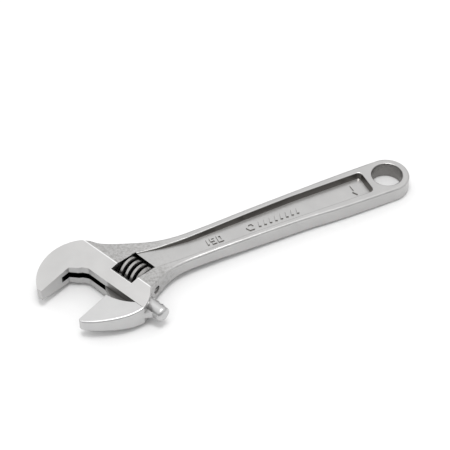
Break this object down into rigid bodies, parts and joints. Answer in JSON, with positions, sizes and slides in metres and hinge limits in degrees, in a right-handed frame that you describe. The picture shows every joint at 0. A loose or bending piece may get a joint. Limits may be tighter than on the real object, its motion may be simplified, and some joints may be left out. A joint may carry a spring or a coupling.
{
  "type": "adjustable wrench",
  "caption": "Forged adjustable wrench with a sliding lower jaw driven by a thumb knurl, a recessed flat handle and a round hang hole.",
  "frame": {"origin": "centre of the hang hole, on the wrench's middle plane", "axes": "+X from the head towards the hang hole along the handle, +Z normal to the flat faces along the hang hole's axis; the jaws open towards -X and the movable jaw slides in the XY plane along (0.383, -0.924, 0)"},
  "size_m": [0.1552, 0.0456, 0.0108],
  "materials": {
    "forged_body": "satin chrome plate over a drop forging, ground flat on the head",
    "jaw": "satin chrome plate, ground flat faces, brushed slideway side",
    "knurl": "satin chrome plate, rounded thread crests",
    "pin_steel": "turned steel",
    "spring_steel": "drawn wire"
  },
  "bodies": {
    "base": {"body": "forged_body", "knurl_pin": "pin_steel", "knurl_spring": "spring_steel"},
    "jaw": {"movable_jaw": "jaw"},
    "worm": {"knurl": "knurl"}
  },
  "joints": [
    {"name": "jaw_slide", "type": "slide", "parent": "base", "child": "jaw", "axis": [0.3827, -0.9239, 0], "range_m": [-0.0199, 0.0025]},
    {"name": "knurl_spin", "type": "hinge", "parent": "base", "child": "worm", "pos_m": [-0.11006, -0.00334, 0], "axis": [0.3827, -0.9239, 0], "range_deg": [-350, 2760]}
  ],
  "couplings": [
    {"joint": "knurl_spin", "follows": "jaw_slide", "rad_per_m": -2416.6}
  ]
}
